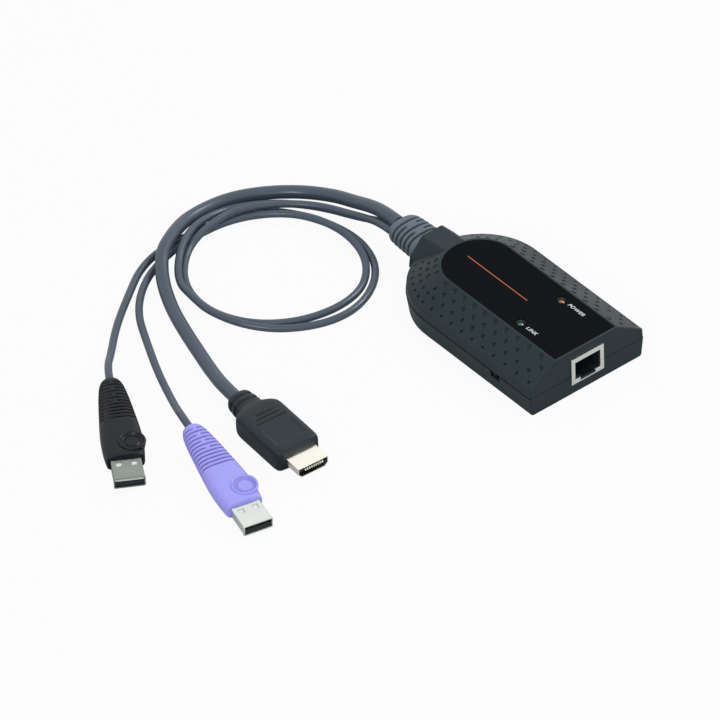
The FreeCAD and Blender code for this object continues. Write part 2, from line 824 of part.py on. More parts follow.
def light_pipe(y):
    """Clear rod from the lamp to the label, held by a flange under the crown."""
    low = board_top_z + led_height + led_gap
    flange_z = crown_z - wall - pipe_flange_thickness - fit_gap
    ball = (pipe_radius ** 2 + pipe_dome ** 2) / (2 * pipe_dome)
    stem = rod(light_x, y, low, pipe_radius, pipe_tip_z - low)
    flange = rod(light_x, y, flange_z, pipe_flange_radius, pipe_flange_thickness)
    dome = Part.makeSphere(ball, V(light_x, y, pipe_tip_z + pipe_dome - ball))
    tip = dome.common(rod(light_x, y, pipe_tip_z - TINY, pipe_radius, 2 * pipe_dome))
    return stem.fuse([flange, tip]).removeSplitter()


# ---------------------------------------------------------------- network socket


def jack_shield():
    """Folded metal case with a front frame that is open at the latch."""
    rear_x = jack_front_x - jack_depth
    case = block(rear_x, -jack_width / 2, jack_low_z, jack_depth, jack_width, jack_height)
    space = block(rear_x + jack_sheet, -jack_width / 2 + jack_sheet, jack_low_z + jack_sheet,
                  jack_depth - 2 * jack_sheet, jack_width - 2 * jack_sheet,
                  jack_height - 2 * jack_sheet)
    opening = centred_block(jack_front_x, 0, jack_opening_low_z, 4 * jack_sheet,
                            jack_opening_width, jack_opening_height)
    notch = centred_block(jack_front_x, 0, jack_low_z + jack_sheet, 4 * jack_sheet,
                          jack_notch_width, jack_band)
    return case.cut([space, opening, notch])


def jack_cavity_wire(x):
    """Opening for the plug, with the stepped keyway of its latch below."""
    half = jack_cavity_half_width
    latch = jack_latch_width / 2
    low = jack_cavity_low_z
    profile = [(half, low), (half, jack_cavity_high_z), (-half, jack_cavity_high_z),
               (-half, low), (-latch, low), (-latch, low - jack_latch_drop),
               (latch, low - jack_latch_drop), (latch, low), (half, low)]
    return Part.makePolygon([V(x, y, z) for y, z in profile])


def jack_body():
    """Moulded block with the cavity that the plug goes into."""
    rear_x = jack_front_x - jack_depth + jack_sheet + fit_gap
    inside = jack_sheet + fit_gap
    solid = block(rear_x, -jack_width / 2 + inside, jack_low_z + inside,
                  jack_face_x - fit_gap - rear_x, jack_width - 2 * inside,
                  jack_height - 2 * inside)
    cavity = Part.Face(jack_cavity_wire(jack_face_x - jack_cavity_depth))
    return solid.cut(cavity.extrude(V(jack_cavity_depth + 1, 0, 0)))


def jack_contacts():
    """Spring wires that slope down from the roof of the cavity."""
    roof = jack_cavity_high_z
    front_x = jack_face_x - contact_setback
    back_x = front_x - contact_length
    foot_x = jack_face_x - jack_cavity_depth
    side = [V(front_x, 0, roof), V(back_x, 0, roof - contact_fall),
            V(foot_x, 0, roof - contact_fall),
            V(foot_x, 0, roof - contact_fall + contact_thickness),
            V(back_x, 0, roof - contact_fall + contact_thickness),
            V(front_x - contact_length * contact_thickness / contact_fall, 0, roof)]
    wires = []
    for index in range(contact_count):
        y = (index - (contact_count - 1) / 2) * contact_pitch - contact_width / 2
        face = Part.Face(Part.makePolygon([point + V(0, y, 0) for point in side + side[:1]]))
        wires.append(face.extrude(V(0, contact_width, 0)))
    return Part.makeCompound(wires)


# ---------------------------------------------------------------- slide switch

switch_front_y = -board_half_width - switch_board_inset
knob_z = window_sill_z + (parting_z - window_sill_z - knob_height) / 2 - fit_gap
knob_rear_y = switch_front_y + slot_depth - slot_gap


def switch_body():
    body = block(switch_x - switch_length / 2, switch_front_y, board_top_z, switch_length,
                 switch_depth, switch_height)
    slot_length = knob_length + switch_travel + 2 * slot_gap
    slot = block(switch_x - slot_length / 2, switch_front_y - 1, knob_z - slot_gap, slot_length,
                 slot_depth + 1, board_top_z + switch_height - knob_z)
    return body.cut(slot)


def switch_knob():
    """Knob at the rear end of its travel."""
    rear_x = switch_x - (knob_length + switch_travel) / 2
    knob = block(rear_x, knob_rear_y - knob_reach - slot_depth + slot_gap, knob_z, knob_length,
                 knob_reach + slot_depth - slot_gap, knob_height)
    tip_y = knob_rear_y - knob_reach - slot_depth + slot_gap
    tip_edges = edges_where(knob, lambda box: box.YMax < tip_y + TINY)
    return knob.makeFillet(slot_gap, tip_edges)


# ---------------------------------------------------------------- screws


def shell_screws():
    """Pan-head screws with cross recesses, heads sunk in the underside."""
    screws = []
    for x, y in boss_places:
        head = rod(x, y, screw_head_recess, screw_head_radius, screw_head_height)
        shank = rod(x, y, screw_head_recess + screw_head_height, screw_radius, screw_length)
        point = Part.makeCone(screw_radius, screw_point_radius, screw_radius,
                              V(x, y, screw_head_recess + screw_head_height + screw_length))
        screw = head.fuse([shank, point])
        for length, width in ((screw_cross_length, screw_cross_width),
                              (screw_cross_width, screw_cross_length)):
            screw = screw.cut(centred_block(x, y, 0, length, width,
                                            screw_head_recess + screw_cross_depth))
        screws.append(screw)
    return Part.makeCompound(screws)


# ---------------------------------------------------------------- cords


def cord_path(route):
    """Straight runs joined by tangent arcs, each as large as its two runs allow."""
    points = [V(*place) for place in route]
    radii = [0]
    for before, point, after in zip(points, points[1:], points[2:]):
        back = point - before
        ahead = after - point
        shorter = min(back.Length, ahead.Length)
        radii.append(bend_share * shorter / math.tan(back.getAngle(ahead) / 2))
    radii.append(0)
    return outline(points, radii, closed=False), radii[1:-1]


def cord(name, route, radius):
    """Round tube along its path; its bends and its volume are printed as a test."""
    path, radii = cord_path(route)
    start = V(*route[0])
    heading = V(*route[1]) - start
    ring = Part.Wire(Part.Circle(start, heading, radius).toShape())
    tube = path.makePipeShell([ring], True, False)
    expected = math.pi * radius ** 2 * path.Length
    print(name, "length", round(path.Length, 1), "tightest bend", round(min(radii), 1),
          "volume share", round(tube.Volume / expected, 4), "lowest", round(tube.BoundBox.ZMin, 2))
    print("   bends", [round(value) for value in radii])
    return tube


def on_cord_end(shape, route):
    """Move a plug, modelled along +X from the origin, to the end of its cord."""
    end = V(*route[-1])
    heading = end - V(*route[-2])
    yaw = math.degrees(math.atan2(heading.y, heading.x))
    dip = math.degrees(math.atan2(-heading.z, math.hypot(heading.x, heading.y)))
    turn = FreeCAD.Rotation(Z_AXIS, yaw).multiply(FreeCAD.Rotation(Y_AXIS, dip))
    placed = shape.copy()
    placed.Placement = FreeCAD.Placement(end, turn).multiply(placed.Placement)
    return placed


# ---------------------------------------------------------------- data plugs


def grip_sections(less):
    """Sections of the grip from tail to front, each smaller by twice the given amount."""
    rows = [(0, grip_tail_width, grip_tail_height),
            (grip_middle, grip_middle_width, grip_middle_height),
            (grip_shoulder, grip_front_width, grip_front_height),
            (grip_length, grip_front_width, grip_front_height)]
    return [rounded_box_wire(x, width - 2 * less, height - 2 * less, grip_corner - less)
            for x, width, height in rows]


def data_grip():
    """Overmoulded grip with a ribbed tail and a dished button."""
    grip = ruled_loft(grip_sections(0))
    core = ruled_loft(grip_sections(grip_rib_depth))
    for index in range(grip_rib_count):
        x = grip_rib_start + index * grip_rib_pitch
        slab = block(x, -grip_front_width, -grip_front_height, grip_rib_width,
                     2 * grip_front_width, 2 * grip_front_height)
        ring = slab.cut(core)
        if index < grip_webbed_ribs and index % 2 == 0:
            ring = ring.cut(block(x - 1, -grip_web_half_width, 0, grip_rib_width + 2,
                                  2 * grip_web_half_width, grip_front_height))
        grip = grip.cut(ring)
    button_x = grip_length - button_from_front
    button_top = grip_front_height / 2 + button_proud
    button = rod(button_x, button_offset, 0, button_radius, button_top)
    ball = (button_dish_radius ** 2 + button_dish_depth ** 2) / (2 * button_dish_depth)
    dish = Part.makeSphere(ball, V(button_x, button_offset, button_top + ball - button_dish_depth))
    socket = rounded_box_wire(grip_length - shell_socket_depth, shell_width + 2 * shell_socket_gap,
                              shell_height + 2 * shell_socket_gap, shell_corner + shell_socket_gap)
    socket = Part.Face(socket).extrude(V(2 * shell_socket_depth, 0, 0))
    return grip.fuse(button).cut([dish, socket]).removeSplitter()


def data_shell():
    """Folded sheet-metal shell with latch windows and a flared mouth."""
    rear_x = grip_length - shell_socket_depth
    outer = Part.Face(rounded_box_wire(rear_x, shell_width, shell_height, shell_corner))
    outer = outer.extrude(V(shell_length, 0, 0))
    lip = Part.Face(rounded_box_wire(rear_x + shell_length - shell_lip_length,
                                     shell_width + 2 * shell_lip, shell_height + 2 * shell_lip,
                                     shell_corner + shell_lip))
    lip = lip.extrude(V(shell_lip_length, 0, 0))
    inner = Part.Face(rounded_box_wire(rear_x + shell_sheet, shell_width - 2 * shell_sheet,
                                       shell_height - 2 * shell_sheet, shell_corner - shell_sheet))
    shell = outer.fuse(lip).cut(inner.extrude(V(shell_length, 0, 0)))
    window_x = grip_length + shell_window_from_grip
    for side in (-1, 1):
        shell = shell.cut(centred_block(window_x, side * shell_window_pitch / 2, -shell_height,
                                        shell_window, shell_window, 2 * shell_height))
    return shell.removeSplitter()


def data_insulator():
    """Block on the floor of the shell that carries the contacts."""
    rear_x = grip_length - shell_socket_depth + shell_sheet
    length = shell_length - shell_sheet - insulator_setback
    width = shell_width - 2 * shell_sheet - 2 * fit_gap
    low = -shell_height / 2 + shell_sheet + fit_gap
    return block(rear_x, -width / 2, low, length, width, insulator_height)


def data_contacts():
    rear_x = grip_length - shell_socket_depth + shell_sheet
    length = shell_length - shell_sheet - 2 * insulator_setback
    top = -shell_height / 2 + shell_sheet + fit_gap + insulator_height
    pads = []
    for index in range(pad_count):
        y = (index - (pad_count - 1) / 2) * pad_pitch
        pads.append(block(rear_x, y - pad_width / 2, top, length, pad_width, pad_thickness))
    return Part.makeCompound(pads)


# ---------------------------------------------------------------- video plug


def video_boot_and_case():
    """Overmould: an oval boot with ring grooves, then a case with grip grooves and a panel."""
    boot = loft([rounded_box_wire(0, boot_tail_width, boot_tail_height, boot_tail_corner),
                 rounded_box_wire(boot_length + 1, boot_front_width, boot_front_height,
                                  boot_front_corner)])
    boot = boot.makeFillet(boot_round, edges_where(boot, lambda box: box.XMax < TINY))
    for index in range(boot_groove_count):
        x = boot_groove_start + index * boot_groove_pitch
        share = x / boot_length
        width = boot_tail_width + share * (boot_front_width - boot_tail_width)
        height = boot_tail_height + share * (boot_front_height - boot_tail_height)
        core = Part.Face(rounded_box_wire(x - 1, width - 2 * boot_groove_depth,
                                          height - 2 * boot_groove_depth,
                                          boot_groove_corner))
        slab = block(x, -width, -height, boot_groove_width, 2 * width, 2 * height)
        boot = boot.cut(slab.cut(core.extrude(V(boot_groove_width + 2, 0, 0))))
    end = boot_length + case_length
    case = ruled_loft([
        rounded_box_wire(boot_length, case_tail_width, case_tail_height, case_corner),
        rounded_box_wire(boot_length + case_shoulder, case_width, case_height, case_corner)])
    straight = Part.Face(rounded_box_wire(boot_length + case_shoulder, case_width, case_height,
                                          case_corner))
    body = boot.fuse([case, straight.extrude(V(case_length - case_shoulder, 0, 0))])
    top = case_height / 2
    for index in range(case_groove_count):
        x = boot_length + case_groove_start + index * case_groove_pitch
        half = case_groove_half_length + index * case_groove_growth
        body = body.cut(block(x, -half, top - case_groove_depth, case_groove_width, 2 * half, 1))
    panel = block(boot_length + case_panel_start, -case_panel_width / 2, top - case_panel_depth,
                  case_panel_length, case_panel_width, 1)
    socket = video_shell_face(end - shell_socket_depth, -shell_socket_gap)
    socket = socket.extrude(V(2 * shell_socket_depth, 0, 0))
    return body.cut([panel, socket]).removeSplitter()


def video_shell_face(x, less):
    """Rectangle with two bevelled lower corners."""
    half = video_shell_width / 2 - less
    high = video_shell_height / 2 - less
    bevel = video_shell_bevel - less * (2 - math.sqrt(2))
    profile = [(half, high), (-half, high), (-half, -high + bevel), (-half + bevel, -high),
               (half - bevel, -high), (half, -high + bevel), (half, high)]
    return Part.Face(Part.makePolygon([V(x, y, z) for y, z in profile]))


def video_shell():
    rear_x = boot_length + case_length - shell_socket_depth
    outer = video_shell_face(rear_x, 0).extrude(V(video_shell_length, 0, 0))
    inner = video_shell_face(rear_x + shell_sheet, shell_sheet)
    return outer.cut(inner.extrude(V(video_shell_length, 0, 0)))


def video_tongue():
    rear_x = boot_length + case_length - shell_socket_depth + shell_sheet
    length = video_shell_length - shell_sheet - video_tongue_setback
    return block(rear_x, -video_tongue_width / 2, -video_tongue_height / 2, length,
                 video_tongue_width, video_tongue_height)


def video_contacts():
    """Row of contacts on top of the tongue."""
    rear_x = boot_length + case_length - shell_socket_depth + shell_sheet
    length = video_shell_length - shell_sheet - 2 * video_tongue_setback
    pads = []
    for index in range(video_contact_count):
        y = (index - (video_contact_count - 1) / 2) * video_contact_pitch
        pads.append(block(rear_x, y - video_contact_width / 2, video_tongue_height / 2, length,
                          video_contact_width, video_contact_thickness))
    return Part.makeCompound(pads)


# ---------------------------------------------------------------- all the pieces

nodes = {
    "lower_shell": lower_shell(),
    "upper_shell": upper_shell(),
    "label_plate": label_plate(),
    "strain_relief": strain_relief(),
    "shell_screws": shell_screws(),
    "circuit_board": circuit_board(),
    "main_processor": main_processor(processor_x, 0),
    "video_converter": centred_block(processor_x + converter_ahead,
                                     board_half_width - converter_edge_margin, board_top_z,
                                     converter_size, converter_size, converter_height),
    "memory_chip": chip_with_feet(processor_x, memory_edge_margin - board_half_width,
                                  memory_length, memory_width, memory_height, memory_lead_pitch),
    "line_transformer": centred_block(transformer_x, 0, board_top_z, transformer_length,
                                      transformer_width, transformer_height),
    "oscillator_can": oscillator(processor_x + oscillator_ahead,
                                 oscillator_edge_margin - board_half_width),
    "capacitors": capacitors(processor_x - capacitors_behind,
                             board_half_width - capacitor_edge_margin),
    "lead_header": lead_header(header_x),
    "inner_leads": inner_leads(header_x),
    "power_lamp": light_emitter(power_light_y),
    "link_lamp": light_emitter(link_light_y),
    "power_light_pipe": light_pipe(power_light_y),
    "link_light_pipe": light_pipe(link_light_y),
    "jack_shield": jack_shield(),
    "jack_body": jack_body(),
    "jack_contacts": jack_contacts(),
    "switch_body": switch_body(),
    "switch_knob": switch_knob(),
    "video_cord": cord("video_cord", video_route, video_cord_radius),
    "violet_cord": cord("violet_cord", violet_route, data_cord_radius),
    "black_cord": cord("black_cord", black_route, data_cord_radius),
    "video_plug_case": on_cord_end(video_boot_and_case(), video_route),
    "video_plug_shell": on_cord_end(video_shell(), video_route),
    "video_plug_tongue": on_cord_end(video_tongue(), video_route),
    "video_plug_contacts": on_cord_end(video_contacts(), video_route),
}
for colour, route in (("violet", violet_route), ("black", black_route)):
    nodes[colour + "_plug_grip"] = on_cord_end(data_grip(), route)
    nodes[colour + "_plug_shell"] = on_cord_end(data_shell(), route)
    nodes[colour + "_plug_insulator"] = on_cord_end(data_insulator(), route)
    nodes[colour + "_plug_contacts"] = on_cord_end(data_contacts(), route)

os.makedirs("parts", exist_ok=True)
for name, shape in nodes.items():
    shape.exportStep("parts/" + name + ".step")
    print(name, "solids", len(shape.Solids), "valid", shape.isValid(),
          "volume", round(shape.Volume, 1), "lowest", round(shape.BoundBox.ZMin, 2))
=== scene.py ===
"""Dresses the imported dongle: moulded shells, glossy label, jacketed cords and their plugs."""
import json
import math

import bmesh
import bpy
from mathutils import Matrix, Vector


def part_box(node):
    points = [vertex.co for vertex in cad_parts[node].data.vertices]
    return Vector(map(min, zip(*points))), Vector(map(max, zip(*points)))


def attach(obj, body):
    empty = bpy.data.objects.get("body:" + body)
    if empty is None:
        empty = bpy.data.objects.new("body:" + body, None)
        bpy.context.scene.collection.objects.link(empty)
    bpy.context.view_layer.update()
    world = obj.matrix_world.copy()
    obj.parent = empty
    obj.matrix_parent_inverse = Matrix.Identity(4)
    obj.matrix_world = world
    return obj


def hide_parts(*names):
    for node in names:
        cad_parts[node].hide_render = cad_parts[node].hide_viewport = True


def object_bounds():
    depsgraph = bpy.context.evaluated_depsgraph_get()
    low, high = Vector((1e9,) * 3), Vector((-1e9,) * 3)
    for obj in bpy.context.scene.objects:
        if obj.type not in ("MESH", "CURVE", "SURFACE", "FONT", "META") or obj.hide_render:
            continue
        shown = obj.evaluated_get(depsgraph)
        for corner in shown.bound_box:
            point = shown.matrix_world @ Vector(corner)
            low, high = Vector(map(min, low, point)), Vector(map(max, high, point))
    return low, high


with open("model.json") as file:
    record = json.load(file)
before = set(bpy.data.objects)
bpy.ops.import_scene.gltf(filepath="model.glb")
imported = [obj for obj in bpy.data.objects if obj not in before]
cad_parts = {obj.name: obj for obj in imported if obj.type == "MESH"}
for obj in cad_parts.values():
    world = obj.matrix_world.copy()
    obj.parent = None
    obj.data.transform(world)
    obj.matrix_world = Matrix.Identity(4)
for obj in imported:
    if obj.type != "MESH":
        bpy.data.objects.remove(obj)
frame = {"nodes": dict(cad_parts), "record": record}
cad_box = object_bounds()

MM = 0.001
HOUSING = "housing"
nodes = frame["nodes"]

# ------------------------------------------------------------------ shader sums


class Wire:
    """A socket that takes part in plain sums; numbers and wires mix freely."""

    def __init__(self, finish, socket):
        self.finish = finish
        self.socket = socket

    def maths(self, operation, *others):
        inputs = dict(enumerate((self,) + others))
        return self.finish.node("Math", {"operation": operation}, inputs)

    def __add__(self, other):
        return self.maths("ADD", other)

    __radd__ = __add__

    def __mul__(self, other):
        return self.maths("MULTIPLY", other)

    __rmul__ = __mul__

    def __sub__(self, other):
        return self.maths("SUBTRACT", other)

    def __rsub__(self, other):
        return self.finish.node("Math", {"operation": "SUBTRACT"}, {0: other, 1: self})

    def ramp(self, low, high, at_low=0.0, at_high=1.0):
        """Goes smoothly from at_low to at_high as the wire goes from low to high."""
        return self.finish.node(
            "MapRange",
            {"interpolation_type": "SMOOTHSTEP"},
            {"Value": self, "From Min": low, "From Max": high, "To Min": at_low, "To Max": at_high},
        )


class Finish:
    """A material under construction, or the world's shader where that is the owner."""

    def __init__(self, name, owner=None):
        self.owner = owner or bpy.data.materials.new(name)
        self.owner.use_nodes = True
        self.tree = self.owner.node_tree
        self.tree.nodes.clear()
        self.place = None if owner else self.node("TexCoord", output="Object")

    def node(self, kind, settings=None, inputs=None, output=0):
        """Adds a node: its settings first, then the values or links of its sockets."""
        made = self.tree.nodes.new("ShaderNode" + kind)
        for name, value in (settings or {}).items():
            setattr(made, name, value)
        for name, value in (inputs or {}).items():
            if isinstance(value, Wire):
                self.tree.links.new(value.socket, made.inputs[name])
            else:
                made.inputs[name].default_value = value
        return Wire(self, made.outputs[output]) if made.outputs else made

    def noise(self, per_mm, detail=3.0, roughness=0.5, squash=None):
        """Cloudy values round 0.5, with so many lumps to the millimetre."""
        place = self.place
        if squash:
            place = self.node("VectorMath", {"operation": "MULTIPLY"}, {0: place, 1: squash})
        sockets = {"Vector": place, "Scale": per_mm / MM, "Detail": detail, "Roughness": roughness}
        return self.node("TexNoise", {}, sockets)

    def pits(self, per_mm):
        """Distance to the nearest of many scattered points."""
        return self.node("TexVoronoi", {}, {"Vector": self.place, "Scale": per_mm / MM})

    def mix(self, share, first, second):
        """Colour mix; share, first and second may be wires."""
        first = first if isinstance(first, Wire) else (*first, 1.0)
        second = second if isinstance(second, Wire) else (*second, 1.0)
        return self.node("Mix", {"data_type": "RGBA"}, {0: share, 6: first, 7: second}, output=2)

    def bump(self, height, depth_mm, strength=1.0, normal=None):
        """Normals of a height wire, over other normals where those are given."""
        inputs = {"Height": height, "Distance": depth_mm * MM, "Strength": strength}
        if normal:
            inputs["Normal"] = normal
        return self.node("Bump", {}, inputs)

    def soft_edges(self, radius_mm):
        """Normals rounded over the edges."""
        return self.node("Bevel", {"samples": 4}, {"Radius": radius_mm * MM})

    def edge_highlight_mask(self, radius_mm):
        """Mask of the painted edge highlight: one along convex edges, nothing on flats."""
        rounded = self.soft_edges(radius_mm)
        plain = self.node("NewGeometry", output="Normal")
        settings = {"operation": "DOT_PRODUCT"}
        facing = self.node("VectorMath", settings, {0: rounded, 1: plain}, "Value")
        return facing.ramp(0.995, 0.86)

    def sunken(self, reach_mm):
        """Mask of painted shade: one deep in dimples and corners, nothing in the open."""
        inputs = {"Distance": reach_mm * MM}
        open_share = self.node("AmbientOcclusion", {"samples": 8, "only_local": True}, inputs, "AO")
        return open_share.ramp(0.97, 0.72)

    def surface(self, **sockets):
        """The Principled shader; underscores stand for the spaces in its sockets' names."""
        inputs = {name.replace("_", " "): value for name, value in sockets.items()}
        shader = self.node("BsdfPrincipled", {}, inputs)
        self.node("OutputMaterial", {}, {"Surface": shader})
        return self.owner


def colour(red, green, blue):
    """Linear colour from its everyday 0 to 255 figures."""
    linear = []
    for value in (red, green, blue):
        share = value / 255
        linear.append(share / 12.92 if share <= 0.04045 else ((share + 0.055) / 1.055) ** 2.4)
    return tuple(linear)


# ------------------------------------------------------------------ finishes


def moulded(name, dark, light, roughness, grain=0.012, grain_per_mm=5.0, gloss=0.3, edge=0.25,
            highlight_radius=0.25, deep=0.4, corner_shade=0.0):
    """Moulded plastic or rubber: fine spark grain, cloudy tone, a painted highlight along the
    edges.

    edge is the radius in mm of the softened edges, the one after it that of the painted highlight
    on edges. deep is how much of the dark tone is left in the painted shade of carved grooves, and
    the last figure how far painted shade darkens dimples and corners.
    """
    finish = Finish(name)
    cloud = finish.noise(0.05, 4.0)
    fine = finish.noise(grain_per_mm, 2.0)
    tone = finish.mix(cloud * 0.6 + fine * 0.4, dark, light)
    # painted shade: the deep grooves and the button dish darken towards the dark tone
    painted_shade = finish.node("Attribute", {"attribute_name": "painted_shade"}, output="Fac")
    tone = finish.mix(painted_shade * 0.85, tone, tuple(value * deep for value in dark))
    # painted shade: dimples and corners darkened, found by ambient occlusion
    if corner_shade:
        tone = finish.mix(finish.sunken(1.4) * corner_shade, tone, tuple(value * 0.2 for value in dark))
    # painted highlight: edges lightened towards a paler tone
    edge_highlight = finish.edge_highlight_mask(highlight_radius)
    pale = tuple(min(1.0, value * 1.7 + 0.01) for value in light)
    base = finish.mix(edge_highlight * 0.5, tone, pale)
    normal = finish.bump(fine, grain, 0.7, finish.soft_edges(edge))
    shine = cloud.ramp(0.3, 0.7, roughness - 0.05, roughness + 0.06) - edge_highlight * 0.08
    return finish.surface(Base_Color=base, Roughness=shine, Normal=normal, Specular_IOR_Level=gloss)


def metal(name, tone, shade, roughness, brushed=(1, 1, 1), per_mm=1.2, edge=0.15):
    """Plated sheet metal: drawn streaks, light smudges and bright edges."""
    finish = Finish(name)
    streaks = finish.noise(per_mm, 4.0, 0.6, brushed)
    smudge = finish.noise(0.12, 3.0)
    base = finish.mix(streaks * 0.5 + smudge * 0.5, shade, tone)
    shine = smudge.ramp(0.35, 0.7, roughness - 0.06, roughness + 0.1)
    normal = finish.bump(streaks, 0.0015, 0.4, finish.soft_edges(edge))
    return finish.surface(Base_Color=base, Roughness=shine, Metallic=1.0, Normal=normal)


def gloss_film(name, tone, specular, roughness=0.08):
    """Glossy printed film with faint handling marks."""
    finish = Finish(name)
    smear = finish.noise(0.08, 5.0, 0.65, (1.0, 2.5, 1.0))
    dust = finish.pits(0.6).ramp(0.03, 0.07, 1.0, 0.0)
    base = finish.mix(dust * 0.12, tone, colour(150, 155, 160))
    shine = smear.ramp(0.35, 0.75, roughness, roughness + 0.12) + dust * 0.2
    normal = finish.bump(smear, 0.01, 0.15, finish.soft_edges(0.15))
    return finish.surface(Base_Color=base, Roughness=shine, Normal=normal,
                          Specular_IOR_Level=specular)


def printed_ink(name, thin, full):
    """Screen print: slightly uneven cover, matte."""
    finish = Finish(name)
    cover = finish.noise(3.0, 3.0)
    base = finish.mix(cover, thin, full)
    normal = finish.bump(cover, 0.004, 0.3)
    return finish.surface(Base_Color=base, Roughness=0.4 + cover * 0.2, Normal=normal,
                          Specular_IOR_Level=0.2)


def clear_lens(name, core, rim, glow, strength):
    """Tinted light pipe, lit a little from below."""
    finish = Finish(name)
    swirl = finish.noise(0.8, 2.0)
    base = finish.mix(swirl, core, rim)
    emission = finish.mix(swirl, glow, core)
    normal = finish.bump(swirl, 0.02, 0.2)
    return finish.surface(Base_Color=base, Roughness=0.12 + swirl * 0.08, Normal=normal,
                          Emission_Color=emission, Emission_Strength=strength,
                          Coat_Weight=0.6 + swirl * 0.2)


def board_laminate():
    """Green board: a fine weave under lighter tracks."""
    finish = Finish("board_laminate")
    warp = finish.noise(0.9, 3.0, 0.6, (4.0, 1.0, 1.0))
    weave = warp * finish.noise(0.9, 3.0, 0.6, (1.0, 4.0, 1.0))
    tracks = finish.pits(0.35).ramp(0.32, 0.36)
    base = finish.mix(tracks * 0.6, colour(14, 70, 40), colour(35, 110, 60))
    normal = finish.bump(weave + tracks * 0.4, 0.03, 0.6)
    return finish.surface(Base_Color=base, Roughness=0.32 + weave * 0.2, Normal=normal)


finishes = {
    "shell_plastic": moulded("shell_plastic", colour(27, 40, 44), colour(38, 52, 57), 0.38,
                             gloss=0.2, edge=0.1, highlight_radius=0.2, corner_shade=0.75),
    # switch body and knob: near-black plastic of their own, deepened as painted shade so the switch
    # window reads as a dark recess
    "switch_plastic": moulded("switch_plastic", colour(7, 8, 9), colour(12, 13, 15), 0.6,
                              edge=0.1),
    "label_film": gloss_film("label_film", (0.0026, 0.0036, 0.0046), 0.03),
    "legend_ink": printed_ink("legend_ink", colour(205, 208, 212), colour(228, 230, 234)),
    "rule_ink": printed_ink("rule_ink", colour(176, 96, 66), colour(196, 112, 80)),
    "relief_rubber": moulded("relief_rubber", colour(84, 97, 108), colour(104, 117, 129), 0.4,
                             deep=0.12),
    "cord_jacket": moulded("cord_jacket", colour(62, 75, 89), colour(76, 89, 103), 0.27,
                           grain=0.006, grain_per_mm=3.0, gloss=0.42),
    "black_moulding": moulded("black_moulding", colour(21, 29, 35), colour(31, 41, 48), 0.38),
    "black_grip": moulded("black_grip", colour(13, 15, 20), colour(22, 25, 31), 0.36, gloss=0.24),
    "violet_moulding": moulded("violet_moulding", colour(157, 156, 243), colour(171, 170, 252),
                               0.36, deep=0.22),
    "plug_nickel": metal("plug_nickel", (0.84, 0.88, 0.84), (0.66, 0.7, 0.66), 0.2),
    # painted shade: a darker copy of the plug nickel for the black plug's shell
    "shaded_nickel": metal("shaded_nickel", (0.37, 0.4, 0.37), (0.2, 0.22, 0.2), 0.24),
    "pale_gold": metal("pale_gold", (0.97, 0.96, 0.87), (0.93, 0.91, 0.79), 0.22),
    "contact_gold": metal("contact_gold", (0.9, 0.7, 0.32), (0.75, 0.55, 0.2), 0.2),
    "shaded_contacts": metal("shaded_contacts", (0.3, 0.24, 0.12), (0.16, 0.13, 0.07), 0.3),
    "jack_metal": metal("jack_metal", (0.92, 0.92, 0.89), (0.78, 0.78, 0.74), 0.28),
    "screw_steel": metal("screw_steel", (0.62, 0.62, 0.62), (0.42, 0.42, 0.43), 0.3),
    "can_metal": metal("can_metal", (0.78, 0.79, 0.8), (0.62, 0.63, 0.64), 0.3),
    "board_laminate": board_laminate(),
    "chip_resin": moulded("chip_resin", colour(24, 24, 26), colour(34, 34, 36), 0.6),
    "header_nylon": moulded("header_nylon", colour(222, 224, 220), colour(240, 242, 238), 0.5),
    "lamp_resin": moulded("lamp_resin", colour(225, 222, 205), colour(240, 238, 224), 0.3),
    "amber_lens": clear_lens("amber_lens", colour(170, 122, 62), colour(96, 62, 28),
                             colour(200, 150, 80), 0.04),
    "green_lens": clear_lens("green_lens", colour(66, 118, 66), colour(24, 54, 30),
                             colour(110, 170, 100), 0.04),
}

# pieces that look different from the rest of their material slot; the black plug's shell and the
# plugs' contacts take darker copies of their metals as painted shade
own_finishes = {"switch_body": "switch_plastic", "switch_knob": "switch_plastic",
                "black_plug_shell": "shaded_nickel", "black_plug_contacts": "shaded_contacts",
                "violet_plug_contacts": "shaded_contacts"}
for subpart in frame["record"]["subparts"]:
    mesh = nodes[subpart["node"]].data
    mesh.materials.clear()
    slot = own_finishes.get(subpart["node"], subpart["material_slot"])
    mesh.materials.append(finishes[slot])

# ------------------------------------------------------------------ cords

# routes in mm, from the strain relief to the plugs
video_route = [
    (-57.5, -0.5, 12.0), (-65.5, -0.5, 12.0), (-74.5, -0.3, 9.8), (-84.0, -1.0, 6.5),
    (-95.0, -3.0, 4.2), (-107.0, -10.5, 3.0), (-116.5, -22.5, 3.0), (-123.0, -36.5, 3.0),
    (-123.0, -55.0, 4.0), (-115.5, -69.5, 7.0), (-109.0, -79.5, 7.0), (-98.5, -87.5, 4.0),
    (-83.5, -94.5, 3.0), (-70.0, -99.0, 3.0), (-56.0, -103.0, 3.0), (-42.5, -107.0, 3.6),
    (-30.5, -110.4, 5.5), (-21.5, -111.0, 5.5)]
violet_route = [
    (-57.5, -4.6, 10.0), (-64.5, -4.6, 10.0), (-76.0, -4.2, 5.5), (-98.5, -14.0, 4.5),
    (-112.0, -37.0, 6.5), (-111.0, -55.5, 6.5), (-108.0, -68.5, 2.5), (-93.5, -81.0, 1.6),
    (-75.0, -84.0, 1.6), (-57.5, -76.5, 1.6), (-46.0, -61.5, 1.6), (-42.0, -43.0, 1.6),
    (-46.0, -27.0, 1.6), (-59.0, -16.0, 3.0), (-78.0, -14.0, 4.5), (-98.0, -21.5, 4.0),
    (-111.5, -40.0, 3.0), (-113.0, -62.0, 3.0), (-112.0, -75.5, 1.6), (-105.5, -91.0, 1.6),
    (-92.5, -105.0, 1.6), (-74.5, -114.0, 1.6), (-56.5, -122.5, 2.0), (-38.0, -129.5, 2.5),
    (-26.4, -135.4, 8.6), (-17.6, -137.4, 7.9)]
